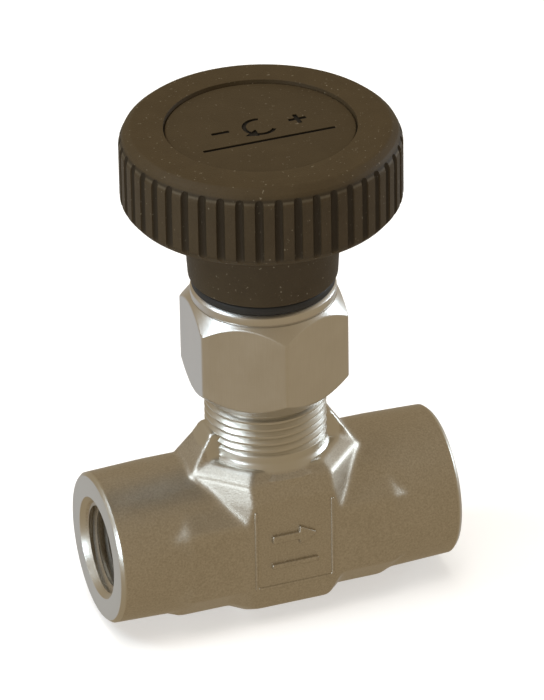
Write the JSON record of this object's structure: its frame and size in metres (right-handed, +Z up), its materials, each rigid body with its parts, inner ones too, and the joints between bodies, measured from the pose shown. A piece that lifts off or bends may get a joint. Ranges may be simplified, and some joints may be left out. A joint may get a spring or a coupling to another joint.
{
  "type": "flow control valve",
  "caption": "Two-port flow control valve: forged body with female ports in line, union bonnet nut, packed rising stem with needle tip, and a fluted round knob.",
  "frame": {"origin": "on the stem axis, at the flat face under the foot that the valve stands on", "axes": "+Z up along the stem to the knob, +X along the ports from inlet to outlet"},
  "size_m": [0.0472, 0.0362, 0.0686],
  "materials": {
    "body_steel": "satin forged and tumbled",
    "nut_steel": "satin machined",
    "bright_steel": "fine turned",
    "brass": "fine turned",
    "seal_plastic": "smooth",
    "graphite": "matte",
    "seal_rubber": "matte",
    "knob_plastic": "moulded, fine grain",
    "cap_plastic": "moulded, fine grain",
    "black_screw": "black oxide"
  },
  "bodies": {
    "body": {"valve_body": "body_steel", "bonnet_nut": "nut_steel", "seat_seal": "seal_plastic", "seat_ring": "bright_steel", "packing_washer": "bright_steel", "packing_ring_lower": "seal_plastic", "packing_ring_middle": "graphite", "packing_ring_upper": "seal_plastic", "packing_gland": "brass", "bonnet_bush": "bright_steel", "bonnet_gasket": "graphite", "dust_seal": "seal_rubber", "stem_wiper": "seal_rubber"},
    "needle": {"needle_tip": "bright_steel", "tip_retainer": "brass"},
    "handwheel": {"stem": "bright_steel", "knob": "knob_plastic", "knob_insert": "brass", "knob_set_screw": "black_screw", "spring_washer": "bright_steel", "knob_screw": "bright_steel", "knob_cap": "cap_plastic"}
  },
  "joints": [
    {"name": "stem_rise", "type": "slide", "parent": "body", "child": "needle", "axis": [0, 0, 1], "range_m": [0, 0.00423]},
    {"name": "knob_turn", "type": "hinge", "parent": "needle", "child": "handwheel", "pos_m": [0, 0, 0.011], "axis": [0, 0, 1], "range_deg": [0, 1440]}
  ],
  "couplings": [
    {"joint": "knob_turn", "follows": "stem_rise", "rad_per_m": 5938.7}
  ]
}
